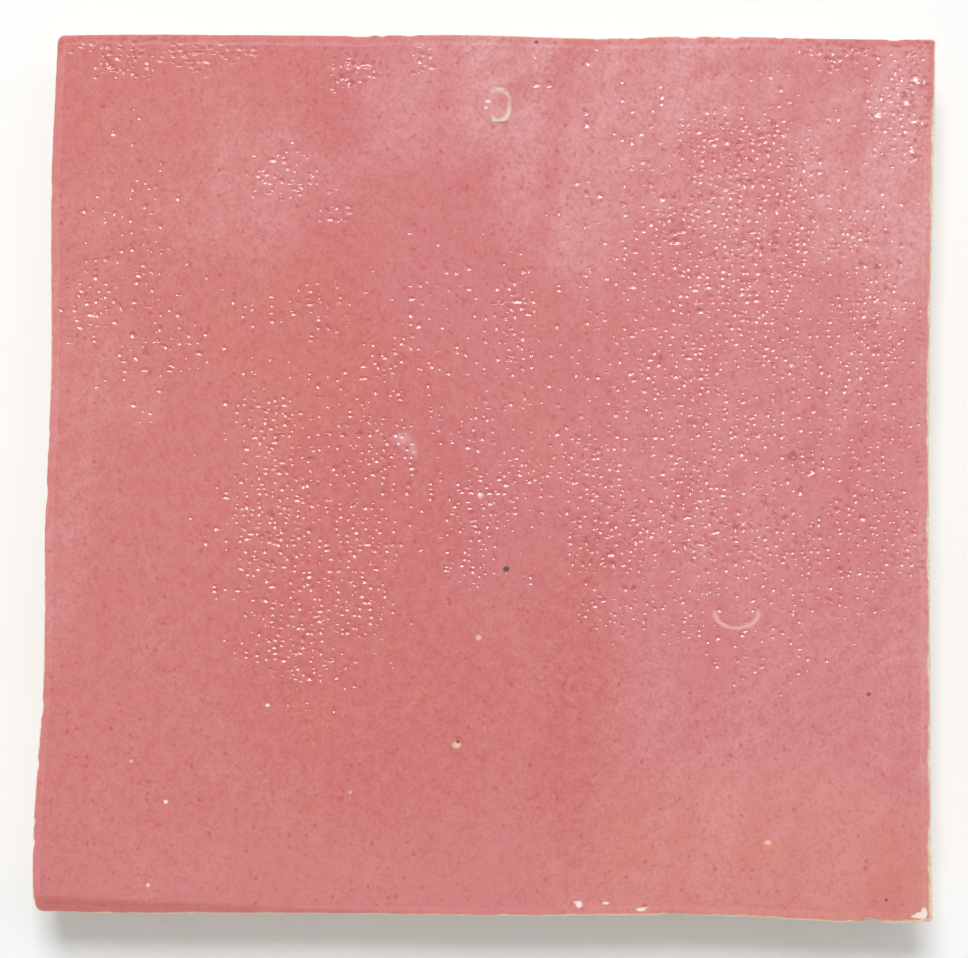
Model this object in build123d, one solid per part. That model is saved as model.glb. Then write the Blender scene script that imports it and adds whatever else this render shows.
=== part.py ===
from build123d import *

import math
import os

# A hand-cut square of glazed clay, lying glazed face up on its bedding face.
# X runs to the right, Y away from the viewer, Z up. All sizes are millimetres.

# Overall size: the nominal rectangle of the glazed face and the height of that face
face_width = 100.4
face_length = 99.5
thickness = 11.0

# How far each corner of the face stands off the nominal rectangle, as (X, Y)
far_left_shift = (2.0, 0.35)
far_right_shift = (0.8, -0.05)
near_right_shift = (0.5, -0.4)
near_left_shift = (-0.8, 0.75)

# How the hand-cut edges wander: (share of the edge, distance outwards), anticlockwise
near_wander = [(0.12, 0.02), (0.33, -0.20), (0.52, -0.17), (0.69, -0.46), (0.79, -0.38), (0.86, -0.05)]
right_wander = [(0.08, -0.20), (0.28, -0.36), (0.53, -0.59), (0.68, -0.47), (0.83, -0.24)]
far_wander = [(0.17, 0.08), (0.27, 0.22), (0.39, -0.08), (0.52, 0.22), (0.66, 0.12), (0.82, 0.15)]
left_wander = [(0.08, 0.16), (0.20, 0.25), (0.40, -0.31), (0.55, -0.09), (0.75, -0.36), (0.83, 0.0)]

# Wear of the four upright corners and of the rim of the glaze, as radii
near_left_wear = 1.2
far_left_wear = 0.9
near_right_wear = 0.5
far_right_wear = 0.5
rim_radius = 0.4

# The glazed face is not flat: two broad swells, and a fall towards the rim
swell_height = 0.16
swell_length_x = 88.0
swell_length_y = 71.0
swell_phase = 0.6
cross_swell_height = 0.10
cross_swell_length = 47.0
cross_swell_phase = 1.1
rim_fall = 0.30
rim_fall_power = 6
face_grid_step = 8.0
face_tolerance = 0.005

# The near edge of the face rolls down as a lip, widest at its left end
lip_width = 2.2
lip_drop = 0.45
lip_length = 62.0
lip_blend = 0.5
lip_rows = (-6.0, -3.0, -1.5, -0.5, 0.5, 1.5, 2.5, 3.5, 5.0, 8.0)

# The sides: an upright land under the glaze, then scallops struck in towards the back
land_height = 2.2
undercut_angle = 10.0
stroke_width = 11.0
scallop_depth = 0.5

# How much the hand varies from stroke to stroke, and how its variation jumps about, in radians
land_spread = 0.45
angle_spread = 1.4
yaw_spread = 2.5
stroke_jump = 2.4
kind_jump = 1.7

# Flakes off the rim: (edge, share of the edge, width along the rim, depth into the face)
rim_flakes = [
    ("near", 0.711, 3.4, 0.22),
    ("near", 0.760, 1.1, 0.30),
    ("near", 0.801, 0.9, 0.18),
    ("near", 0.932, 2.8, 0.62),
    ("far", 0.048, 2.2, 0.22),
    ("far", 0.178, 1.3, 0.20),
    ("far", 0.228, 1.2, 0.22),
    ("left", 0.768, 2.4, 0.30),
]


def face_corner(side_x, side_y, shift):
    """A corner of the glazed face, seen from above."""
    return Vector(side_x * face_width / 2 + shift[0], side_y * face_length / 2 + shift[1])


def wandering_edge(start, end, wander):
    """A hand-cut edge: a smooth curve from corner to corner that strays off the straight line."""
    along = end - start
    outwards = Vector(along.Y, -along.X).normalized()
    stops = [start + along * share + outwards * stray for share, stray in wander]
    return Spline(start, *stops, end)


def face_outline():
    """The four edges of the glazed face, anticlockwise from the near left corner."""
    near_left = face_corner(-1, -1, near_left_shift)
    near_right = face_corner(1, -1, near_right_shift)
    far_right = face_corner(1, 1, far_right_shift)
    far_left = face_corner(-1, 1, far_left_shift)
    return {
        "near": wandering_edge(near_left, near_right, near_wander),
        "right": wandering_edge(near_right, far_right, right_wander),
        "far": wandering_edge(far_right, far_left, far_wander),
        "left": wandering_edge(far_left, near_left, left_wander),
    }


def lip_roll(x, y):
    """How far the lip has rolled down at a point: nothing inside its hinge line, then an even slope."""
    near_left = face_corner(-1, -1, near_left_shift)
    near_right = face_corner(1, -1, near_right_shift)
    along = near_right - near_left
    edge_y = near_left.Y + (x - near_left.X) * along.Y / along.X
    width = lip_width * (1 - (x - near_left.X) / lip_length)
    past_hinge = edge_y + width - y
    return (past_hinge + math.hypot(past_hinge, lip_blend)) / 2 * lip_drop / lip_width


def face_level(x, y):
    """Height of the glazed face at a point: the swells, less the fall to the rim and the lip."""
    swell_x = math.sin(2 * math.pi * x / swell_length_x + swell_phase)
    swell_y = math.cos(2 * math.pi * y / swell_length_y)
    cross_swell = math.sin(2 * math.pi * (x + y) / cross_swell_length + cross_swell_phase)
    reach_x = (2 * x / face_width) ** rim_fall_power
    reach_y = (2 * y / face_length) ** rim_fall_power
    fall = rim_fall * math.hypot(reach_x, reach_y)
    rise = swell_height * swell_x * swell_y + cross_swell_height * cross_swell
    return thickness + rise - fall - lip_roll(x, y)


def even_stops(length):
    """Evenly spaced stops across a length and one step past both of its ends."""
    count = math.ceil(length / face_grid_step) + 2
    return [(i / count - 0.5) * (length + 2 * face_grid_step) for i in range(count + 1)]


def lip_stops():
    """The stops from the near edge to the far one, close together where the lip rolls down."""
    near_edge = -face_length / 2
    close = [near_edge + row for row in lip_rows]
    return close + [y for y in even_stops(face_length) if y > close[-1] + face_grid_step / 2]


def space_above_face():
    """Everything above the uneven glazed face, as one solid to cut away."""
    levels = [
        [Vector(x, y, face_level(x, y)) for y in lip_stops()]
        for x in even_stops(face_width)
    ]
    face = Face.make_surface_from_array_of_points(levels, tol=face_tolerance, min_deg=3)
    return extrude(face, amount=2 * thickness, dir=(0, 0, 1))


def hand_variation(stroke, kind):
    """A number from -1 to 1 that jumps about from one stroke to the next, for each kind of error."""
    return math.sin(stroke_jump * stroke + kind_jump * kind)


def chisel_stroke(edge, share, stroke):
    """One scallop: a wide gouge that starts below the land and leans in towards the back."""
    point = edge @ share
    along = edge % share
    outwards = Vector(along.Y, -along.X).rotate(Axis.Z, yaw_spread * hand_variation(stroke, 1))
    lean = math.radians(undercut_angle + angle_spread * hand_variation(stroke, 2))
    start_level = thickness - land_height + land_spread * hand_variation(stroke, 3)
    down = outwards * -math.sin(lean) + Vector(0, 0, -math.cos(lean))
    away = outwards * math.cos(lean) + Vector(0, 0, -math.sin(lean))
    radius = (stroke_width**2 / 4 + scallop_depth**2) / (2 * scallop_depth)
    centre = Vector(point.X, point.Y, start_level) + away * radius
    gouge_length = 6 * thickness
    return Plane(origin=centre, z_dir=down) * Cylinder(radius, gouge_length)


def chisel_strokes(outline):
    """The strokes all round the tile, evenly shared out along each edge."""
    strokes = []
    for edge in outline.values():
        count = max(3, round(edge.length / stroke_width))
        for i in range(count):
            strokes.append(chisel_stroke(edge, (i + 0.5) / count, len(strokes)))
    return strokes


def rim_flake(outline, side, share, width, depth):
    """A shell-shaped flake off the rim, round in plan and as deep as it is told."""
    edge = outline[side]
    point = edge @ share
    along = edge % share
    outwards = Vector(along.Y, -along.X)
    radius = (width**2 / 4 + depth**2) / (2 * depth)
    centre = point + outwards * (radius - depth)
    return Pos(centre.X, centre.Y, face_level(point.X, point.Y)) * Sphere(radius)


def worn_blank(outline):
    """The outline as an upright block with its four corners worn round."""
    blank = extrude(make_face(list(outline.values())), amount=2 * thickness)
    wear_at_start = {
        "near": near_left_wear,
        "right": near_right_wear,
        "far": far_right_wear,
        "left": far_left_wear,
    }
    for side, wear in wear_at_start.items():
        corner = outline[side] @ 0
        uprights = blank.edges().filter_by(Axis.Z)
        blank = fillet(uprights.sort_by_distance((corner.X, corner.Y, thickness / 2))[0], wear)
    return blank


def tile_body():
    """The whole tile: outline, uneven face, worn rim, scalloped sides and flakes."""
    outline = face_outline()
    body = worn_blank(outline) - space_above_face()
    glazed_face = body.faces().sort_by(Axis.Z)[-1]
    body = fillet(glazed_face.edges(), rim_radius)
    for stroke in chisel_strokes(outline):
        body = body - stroke
    for flake in rim_flakes:
        body = body - rim_flake(outline, *flake)
    return body


def seated(body):
    """The body moved so that the middle of its bedding face is at the origin."""
    box = body.bounding_box()
    return Pos(-box.center().X, -box.center().Y, -box.min.Z) * body


os.makedirs("parts", exist_ok=True)
tile = seated(tile_body())
export_step(tile, "parts/tile_body.step")
print("tile_body", tile.bounding_box().size, "volume", round(tile.volume))
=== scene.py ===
# %% [markdown]
# # A hand-cut zellige tile
#
# A zellige is a square of soft clay that is levelled by hand, dried, fired, dipped in glaze and fired
# again. Its face is never quite flat, its glaze is never quite even, and its sides are struck back with
# a chisel hammer, so that it is widest at the glaze. The CAD node holds the tile's real size, outline
# and scalloped sides. This lesson wraps a much finer mesh round it and gives it its finish.

# %% Load the frame
import itertools
import math

import bpy
import numpy as np
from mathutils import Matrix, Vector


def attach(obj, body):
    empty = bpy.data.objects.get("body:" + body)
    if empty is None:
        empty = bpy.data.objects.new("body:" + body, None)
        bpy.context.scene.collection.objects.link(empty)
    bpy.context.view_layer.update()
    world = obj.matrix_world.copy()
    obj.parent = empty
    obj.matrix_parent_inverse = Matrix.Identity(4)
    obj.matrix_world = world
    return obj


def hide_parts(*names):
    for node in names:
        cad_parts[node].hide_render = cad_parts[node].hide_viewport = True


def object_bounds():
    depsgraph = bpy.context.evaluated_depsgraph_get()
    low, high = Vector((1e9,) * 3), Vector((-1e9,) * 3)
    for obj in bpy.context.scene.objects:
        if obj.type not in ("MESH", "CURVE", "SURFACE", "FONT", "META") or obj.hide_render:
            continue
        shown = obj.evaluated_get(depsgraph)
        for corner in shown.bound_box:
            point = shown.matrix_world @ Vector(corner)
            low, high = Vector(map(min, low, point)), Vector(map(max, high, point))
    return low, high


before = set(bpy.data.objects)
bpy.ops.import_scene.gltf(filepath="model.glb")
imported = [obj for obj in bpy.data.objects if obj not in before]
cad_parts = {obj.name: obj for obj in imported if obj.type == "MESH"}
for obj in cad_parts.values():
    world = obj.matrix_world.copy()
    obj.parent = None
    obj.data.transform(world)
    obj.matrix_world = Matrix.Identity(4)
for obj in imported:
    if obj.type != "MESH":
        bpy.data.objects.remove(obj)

mm = 0.001
cad_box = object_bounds()
print("CAD box in mm:", [[round(value / mm, 2) for value in corner] for corner in cad_box])

# %% [markdown]
# ## Noise that can be added to any surface
#
# Nothing on a hand-made tile repeats, so most of its relief is some kind of smooth noise. Blender's own
# Displace modifier could add it, but it moves every point by one texture. Here the noise is worked out
# in numpy, so that each kind can be stretched, masked and given its own height before it is used.

# %% Lattice noise
random = np.random.default_rng(41)
lattice_order = random.permutation(256)
lattice_value = random.uniform(-1.0, 1.0, 256)


def smooth_noise(points, cell, shift=0.0, turn=0.0):
    """Noise from -1 to 1: a random value at each corner of a lattice of boxes, eased from corner to corner.

    cell is the box's size, one number or one for each axis, shift picks another part of the lattice, and
    turn is the angle of the lattice on the tile, so that its straight lines don't show.
    """
    if turn:
        x, y = points[..., 0], points[..., 1]
        across, up = x * np.cos(turn) + y * np.sin(turn), y * np.cos(turn) - x * np.sin(turn)
        points = np.concatenate([np.stack([across, up], -1), points[..., 2:]], -1)
    place = points / np.asarray(cell) + shift
    low = np.floor(place).astype(np.int64)
    part = place - low
    ease = part**3 * (part * (part * 6 - 15) + 10)
    total = np.zeros(place.shape[:-1])
    for corner in itertools.product((0, 1), repeat=place.shape[-1]):
        key = np.zeros(place.shape[:-1], np.int64)
        weight = np.ones(place.shape[:-1])
        for axis, step in enumerate(corner):
            key = lattice_order[(key + low[..., axis] + step) & 255]
            weight = weight * (ease[..., axis] if step else 1 - ease[..., axis])
        total += weight * lattice_value[key]
    return total


def rising(value, start, end):
    """0 below start, 1 above end, and a smooth step between them."""
    share = np.clip((value - start) / (end - start), 0, 1)
    return share * share * (3 - 2 * share)


print("lattice values:", len(lattice_value), "with a mean of", lattice_value.mean().round(3))

# %% [markdown]
# ## Level of the glazed face
#
# The face has two broad swells, sinks a little towards the rim, and rolls down as a lip along the near
# edge. The CAD node's facets are too coarse for a gloss, because a reflection shows every one of them,
# so the same surface is worked out here as one smooth formula.

# %% Face level
thickness = 11.0 * mm
face_width = 100.4 * mm
face_length = 99.5 * mm
swell_height = 0.16 * mm
swell_length_x = 88.0 * mm
swell_length_y = 71.0 * mm
swell_phase = 0.6
slant_height = 0.10 * mm
slant_length = 47.0 * mm
slant_phase = 1.1
rim_fall = 0.30 * mm
rim_fall_power = 6
lip_corner = (-51.0 * mm, -49.0 * mm)
lip_slant = -0.0115
lip_width = 2.2 * mm
lip_length = 62.0 * mm
lip_drop = 0.45 * mm
lip_blend = 0.5 * mm


def lip_roll(x, y, blend=lip_blend):
    """How far the lip has rolled down: an even slope beyond its hinge line.

    The hinge line comes nearer to the edge from left to right, until the lip has run out.
    """
    edge = lip_corner[1] + (x - lip_corner[0]) * lip_slant
    width = lip_width * (1 - (x - lip_corner[0]) / lip_length)
    past_hinge = edge + width - y
    return (past_hinge + np.hypot(past_hinge, blend)) / 2 * lip_drop / lip_width


def face_level(x, y):
    """Height of the glaze.

    It is the thickness, plus a crossed swell and a slanting one, less the fall to the rim and the lip.
    """
    swell = np.sin(2 * np.pi * x / swell_length_x + swell_phase) * np.cos(2 * np.pi * y / swell_length_y)
    slant_swell = np.sin(2 * np.pi * (x + y) / slant_length + slant_phase)
    fall = np.hypot((2 * x / face_width) ** rim_fall_power, (2 * y / face_length) ** rim_fall_power)
    return thickness + swell_height * swell + slant_height * slant_swell - rim_fall * fall - lip_roll(x, y)


print("face level in the middle in mm:", (face_level(0.0, 0.0) / mm).round(2))

# %% [markdown]
# ## The outline, read from the CAD node
#
# The outline strays off a square by up to half a millimetre, and below the glaze each hammer stroke has
# left a hollow. All of that is in the CAD node's triangles. A plane cut through them gives one outline
# at one height, as radius by angle, and a stack of such cuts gives the rim and the sides. The heights
# are first levelled, divided by the level of the face above them, so that one cut runs at one depth
# below the glaze all the way round.

# %% Cut the node at a depth
tile_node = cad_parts["tile_body"]
chord_points = 13
facet_error = 0.03 * mm


def node_triangles(mesh):
    """The mesh's triangles as one array: triangle, corner, axis."""
    places = np.empty(len(mesh.vertices) * 3)
    mesh.vertices.foreach_get("co", places)
    mesh.calc_loop_triangles()
    picked = np.empty(len(mesh.loop_triangles) * 3, np.int32)
    mesh.loop_triangles.foreach_get("vertices", picked)
    return places.reshape(-1, 3)[picked].reshape(-1, 3, 3)


levelled = node_triangles(tile_node.data)
cad_level_error = levelled[..., 2] - face_level(levelled[..., 0], levelled[..., 1])
levelled[..., 2] *= thickness / face_level(levelled[..., 0], levelled[..., 1])


def outline_at(depth):
    """Angles and radii of the plane's cut at this depth below the glaze.

    Each triangle that the plane crosses gives one chord, and the chord is filled with points, so that
    reading its radius by angle keeps it straight.
    """
    height = thickness - depth
    start, end = levelled, levelled[:, (1, 2, 0)]
    above, below = start[..., 2] - height, end[..., 2] - height
    crossed = (above > 0) != (below > 0)
    share = (above[crossed] / (above[crossed] - below[crossed]))[:, None]
    ends = (start[crossed] + (end[crossed] - start[crossed]) * share).reshape(-1, 2, 3)
    along_chord = np.linspace(0, 1, chord_points)[:, None, None]
    points = (ends[:, 0] * (1 - along_chord) + ends[:, 1] * along_chord).reshape(-1, 3)
    angle = np.arctan2(points[:, 1], points[:, 0])
    order = np.argsort(angle)
    return angle[order], np.hypot(points[:, 0], points[:, 1])[order]


on_face = np.abs(cad_level_error) < facet_error
print("triangles in the node:", len(levelled), "corners on the face formula:", int(on_face.sum()))

# %% [markdown]
# ## One closed skin: a grid for the face, rings for the sides
#
# A disc of rings would crowd its points at the middle of the face and starve the rim. A square grid
# suits a square tile: its border is the outline, and a Coons patch, which blends the four borders into
# each other, places what lies between. From that border, rings go down over the rim and the sides to
# the flat back, which is a coarser grid of the same kind.

# %% Directions and rings
side_steps = 256
back_steps = side_steps // 4
around = 4 * side_steps
rim_depths = [0.04, 0.10, 0.20, 0.40, 0.75, 1.2, 1.7, 2.2]
lower_depths = [2.75, 3.35, 4.0, 4.7, 5.45, 6.2, 7.0, 7.8, 8.6, 9.4, 10.1, 10.7, 10.95]
ring_depths = np.array(rim_depths + lower_depths) * mm
back_inset = 0.15 * mm


def corner_points():
    """The corners of the land, near left first and anticlockwise: the farthest point of each quarter."""
    angle, radius = outline_at(1.2 * mm)
    points = radius[:, None] * np.stack([np.cos(angle), np.sin(angle)], 1)
    quarters = ((-1, -1), (1, -1), (1, 1), (-1, 1))
    picks = [np.argmax(np.where((points * quarter > 0).all(1), radius, 0)) for quarter in quarters]
    return points[picks]


corners = corner_points()
share = np.arange(side_steps)[:, None] / side_steps
chords = np.concatenate([a + (b - a) * share for a, b in zip(corners, np.roll(corners, -1, axis=0))])
direction = chords / np.linalg.norm(chords, axis=1, keepdims=True)
ring_angle = np.arctan2(direction[:, 1], direction[:, 0])


def ring_at(depth):
    """The outline at one depth, as one point for each direction round the tile."""
    angle, radius = outline_at(depth)
    return direction * np.interp(ring_angle, angle, radius, period=2 * np.pi)[:, None]


rings = np.stack([ring_at(depth) for depth in ring_depths])
edge_ring = rings[rim_depths.index(0.40)]
along = np.roll(edge_ring, -3, axis=0) - np.roll(edge_ring, 3, axis=0)
outwards = np.stack([along[:, 1], -along[:, 0]], 1) / np.linalg.norm(along, axis=1, keepdims=True)
path = np.concatenate([[0], np.cumsum(np.linalg.norm(np.diff(edge_ring, axis=0), axis=1))])
print("corners in mm:", (corners / mm).round(2).tolist(), "way round in mm:", round(path[-1] / mm, 1))

# %% [markdown]
# ## The nibbled rim
#
# Glaze is glass, and a hammer leaves its edge nibbled: short bites a few tenths of a millimetre deep,
# more of them in some stretches than in others. Each bite pulls the rings at the rim inwards and down.
# That could be bump in the material, but it shows against the floor, so it has to be in the outline.

# %% Bites out of the rim
def round_noise(cell, shift):
    """Noise along the way round the tile, as long as one bite is wide."""
    return smooth_noise(path[:, None], cell, shift)


short_bite = 0.14 * mm
long_bite = 0.16 * mm
nibble = 0.014 * mm
bite_height = 0.9 * mm
# How far a bite pulls the rim down, as a share of its depth
bite_sink = 0.4
crowd = rising(round_noise(17 * mm, 3.3), -0.2, 0.6)
bites = rising(round_noise(1.1 * mm, 8.1), 0.35, 0.95) * short_bite * (0.25 + 0.75 * crowd)
bites += rising(round_noise(2.6 * mm, 5.7), 0.45, 0.95) * long_bite * crowd
bites += (1 + round_noise(0.55 * mm, 1.9)) * nibble
bite_reach = np.exp(-((ring_depths / bite_height) ** 2))
rings -= outwards[None] * (bites[None] * bite_reach[:, None])[..., None]
print("deepest bite in mm:", round(bites.max() / mm, 2))

# %% [markdown]
# ## The struck clay of the sides
#
# Under the glaze the fired clay is bare. Each hammer stroke knocks flakes off it, and each flake leaves a
# shallow bowl, which meets the next bowl in a sharp crest. Noise can't do that, because it is smooth all
# over, but the distance to the nearest of many scattered centres can: it is least at a centre and has a
# crest wherever two centres are equally near. The land above the strokes is the skin that the knife cut.

# %% Flake scars
def flake_scars(points, cell, shift):
    """Bowls with crests between them, and a random number from -1 to 1 that is the same all over a bowl.

    A bowl is the square of the distance to the nearest scattered centre, from 0 up to about 1.
    """
    place = points / np.asarray(cell) + shift
    low = np.floor(place).astype(np.int64)
    nearest = np.full(place.shape[:-1], 9.0)
    tone = np.zeros(place.shape[:-1])
    for step in itertools.product((-1, 0, 1), repeat=2):
        corner = low + step
        key = lattice_order[(lattice_order[corner[..., 0] & 255] + corner[..., 1]) & 255]
        jitter = np.stack([lattice_value[key], lattice_value[lattice_order[key]]], -1)
        apart = ((place - corner - 0.5 - 0.42 * jitter) ** 2).sum(-1)
        tone = np.where(apart < nearest, lattice_value[(key + 97) & 255], tone)
        nearest = np.minimum(nearest, apart)
    return nearest, tone


# %% Rough sides
big_scar_size = (5.0 * mm, 4.0 * mm)
big_scar_depth = 0.62 * mm
small_scar_size = (1.9 * mm, 1.6 * mm)
small_scar_depth = 0.20 * mm
crest = 0.8
scar_stray = 0.9 * mm
land_height = 1.9 * mm
land_raggedness = 0.9 * mm
tear_width = 0.4 * mm
steps_averaged = range(-11, 12)
ring_height = thickness - ring_depths
side_shape = (len(rings), around, 1)
side_points = np.concatenate([rings, np.broadcast_to(ring_height[:, None, None], side_shape)], 2)
unrolled = np.stack(np.broadcast_arrays(path[None], ring_height[:, None]), -1)
stray = scar_stray * np.stack([smooth_noise(unrolled, 2.5 * mm, shift) for shift in (3.7, 8.2)], -1)
big_scar, scar_tone = flake_scars(unrolled + stray, big_scar_size, 3.3)
small_scar, chip_tone = flake_scars(unrolled + stray, small_scar_size, 7.1)
scar_tone = 0.7 * scar_tone + 0.3 * chip_tone
crumble = smooth_noise(side_points, 0.9 * mm, 9.8)
struck = (0.10 + 0.05 * crumble) * mm
struck += big_scar_depth * np.maximum(crest - big_scar, 0)
struck += small_scar_depth * np.maximum(crest - small_scar, 0)
drag = smooth_noise(side_points, (7 * mm, 7 * mm, 0.8 * mm), 4.1)
knife_cut = (0.06 + 0.04 * drag + 0.03 * smooth_noise(side_points, 0.7 * mm, 7.3)) * mm
land_end = land_height + land_raggedness * smooth_noise(side_points, 4 * mm, 5.5)
torn = rising(ring_depths[:, None], land_end - tear_width, land_end + tear_width)
bare_share = rising(ring_depths, 0.3 * mm, 0.9 * mm) * (1 - rising(ring_depths, 10.5 * mm, 10.95 * mm))
break_depth = torn * struck + (1 - torn) * knife_cut
rings -= outwards[None] * (break_depth * bare_share[:, None])[..., None]
land_ring = rings[rim_depths.index(1.2)]
under_land = ((rings - land_ring) * outwards).sum(-1)
around_it = sum(np.roll(under_land, step, axis=1) for step in steps_averaged) / len(steps_averaged)
proud = under_land - around_it
print("side relief in mm:", round(break_depth.max() / mm, 2))
print("proud of the sides' mean in mm:", (np.percentile(proud, (5, 95)) / mm).round(2))

# %% [markdown]
# ## Relief of the glaze
#
# The glaze ran while it was melted, so it has long low waves, and they are what bends a reflection. Near
# the right corner somebody's fingertip left a soft dent. Both are height added to the grid. Marks finer
# than the grid, such as pinholes, come later, in the material.

# %% Waves and a dent
long_wave_height = 0.050 * mm
short_wave_height = 0.024 * mm
dent_centre = (37.1, -46.4)
dent_radii = (1.2, 1.3)
dent_depth = 0.10 * mm
dent_lean = 0.4
dent_rim = 0.03 * mm
dent_rim_reach = 1.5
dent_rim_width = 0.4


def oval(x, y, centre, radii):
    """Distance from an oval's middle in millimetres, as a share of its radius."""
    return np.hypot((x / mm - centre[0]) / radii[0], (y / mm - centre[1]) / radii[1])


def glaze_relief(x, y):
    """Height added to the face: waves of two lengths, and the dent with its low rim."""
    flat = np.stack([x, y], -1)
    waves = long_wave_height * smooth_noise(flat, (13 * mm, 19 * mm), 1.5, 0.4)
    waves += short_wave_height * smooth_noise(flat, 5.5 * mm, 3.5, 1.0)
    from_dent = oval(x + dent_lean * (y - dent_centre[1] * mm), y, dent_centre, dent_radii)
    dent = -dent_depth * np.exp(-(from_dent**2))
    dent += dent_rim * np.exp(-(((from_dent - dent_rim_reach) / dent_rim_width) ** 2))
    return waves + dent


print("dent at", dent_centre, "mm,", round(dent_depth / mm, 2), "mm deep")

# %% [markdown]
# ## Put the skin together
#
# The points of the face, the rings and the back go into one array, and the corners of the faces into
# another, so that Blender gets the whole mesh in a few calls. Every seam is shared points, not doubles,
# and the fine ring round the back meets the coarse grid in fans of five triangles.

# %% Points
def coons(border, steps):
    """A square patch from its border: opposite sides blended both ways, less what the corners add twice."""
    near, right = border[: steps + 1], border[steps : 2 * steps + 1]
    far = border[2 * steps : 3 * steps + 1][::-1]
    left = np.concatenate([border[3 * steps :], border[:1]])[::-1]
    u = np.linspace(0, 1, steps + 1)[None, :, None]
    v = np.linspace(0, 1, steps + 1)[:, None, None]
    ruled = near[None] * (1 - v) + far[None] * v + left[:, None] * (1 - u) + right[:, None] * u
    doubled = (near[0] * (1 - u) + near[-1] * u) * (1 - v) + (far[0] * (1 - u) + far[-1] * u) * v
    return ruled - doubled


def border_numbers(steps, first=0):
    """Numbers of a square grid's border points, anticlockwise from its near left corner."""
    grid = first + np.arange((steps + 1) ** 2).reshape(steps + 1, steps + 1)
    return np.concatenate([grid[0, :-1], grid[:-1, -1], grid[-1, :0:-1], grid[:0:-1, 0]])


face_plan = coons(rings[0], side_steps).reshape(-1, 2)
face_count = len(face_plan)
face_border = border_numbers(side_steps)
face_depth = np.zeros(face_count)
face_depth[face_border] = ring_depths[0]
x, y = face_plan.T
face_height = (thickness - face_depth) * face_level(x, y) / thickness + glaze_relief(x, y)
face_height[face_border] -= bite_sink * bites
face_points = np.column_stack([face_plan, face_height])

ring_plan = rings[1:].reshape(-1, 2)
ring_depth = np.repeat(ring_depths[1:], around)
rx, ry = ring_plan.T
rim_relief = glaze_relief(rx, ry) * (1 - rising(ring_depth, 0.2 * mm, 1.2 * mm))
bite_drop = bite_sink * np.tile(bites, len(rings) - 1) * np.repeat(bite_reach[1:], around)
ring_points = np.column_stack([ring_plan, (thickness - ring_depth) * face_level(rx, ry) / thickness])
ring_points[:, 2] += rim_relief - bite_drop

back_border = (rings[-1] - outwards * back_inset)[::4]
back_plan = coons(back_border, back_steps).reshape(-1, 2)
back_first = face_count + len(ring_points)
bx, by = back_plan.T
half_side = 50 * mm
drag_mark_depth = 0.35 * mm
back_edge = half_side - np.maximum(np.abs(bx), np.abs(by))
drag_marks = np.abs(smooth_noise(back_plan, (30 * mm, 2.2 * mm), 3.1)) * rising(back_edge, 2 * mm, 7 * mm)
back_points = np.column_stack([back_plan, drag_mark_depth * drag_marks**2])
points = np.concatenate([face_points, ring_points, back_points])
print("points:", len(points))

# %% Faces
def grid_faces(steps, first=0):
    """Squares of a grid, anticlockwise seen from above."""
    grid = first + np.arange((steps + 1) ** 2).reshape(steps + 1, steps + 1)
    return np.stack([grid[:-1, :-1], grid[:-1, 1:], grid[1:, 1:], grid[1:, :-1]], -1).reshape(-1, 4)


lower_numbers = face_count + np.arange(len(ring_points)).reshape(-1, around)
ring_numbers = np.concatenate([face_border[None], lower_numbers])
upper, lower = ring_numbers[:-1], ring_numbers[1:]
side_faces = np.stack([upper, lower, np.roll(lower, -1, axis=1), np.roll(upper, -1, axis=1)], -1)

fine = [np.roll(ring_numbers[-1], -step)[::4] for step in range(5)]
back_rim = border_numbers(back_steps, back_first)
coarse = [back_rim, np.roll(back_rim, -1)]
fans = np.concatenate(
    [
        np.stack([fine[0], coarse[0], fine[1]], 1),
        np.stack([fine[1], coarse[0], fine[2]], 1),
        np.stack([fine[2], coarse[0], coarse[1]], 1),
        np.stack([fine[2], coarse[1], fine[3]], 1),
        np.stack([fine[3], coarse[1], fine[4]], 1),
    ]
)
back_faces = grid_faces(back_steps, back_first)[:, ::-1]
squares = np.concatenate([grid_faces(side_steps), side_faces.reshape(-1, 4), back_faces])


def skin_mesh(name, points, squares, triangles):
    """A mesh from arrays: points, faces of four corners, then faces of three."""
    mesh = bpy.data.meshes.new(name)
    corners_used = np.concatenate([squares.ravel(), triangles.ravel()])
    square_starts = np.arange(len(squares)) * 4
    starts = np.concatenate([square_starts, squares.size + np.arange(len(triangles)) * 3])
    mesh.vertices.add(len(points))
    mesh.vertices.foreach_set("co", points.ravel())
    mesh.loops.add(len(corners_used))
    mesh.loops.foreach_set("vertex_index", corners_used.astype(np.int32))
    mesh.polygons.add(len(starts))
    mesh.polygons.foreach_set("loop_start", starts.astype(np.int32))
    mesh.polygons.foreach_set("use_smooth", np.ones(len(starts), bool))
    mesh.update(calc_edges=True)
    return mesh


tile_mesh = skin_mesh("zellige_tile", points, squares, fans)
print("faces:", len(tile_mesh.polygons), "triangles:", 2 * len(squares) + len(fans))
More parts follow.
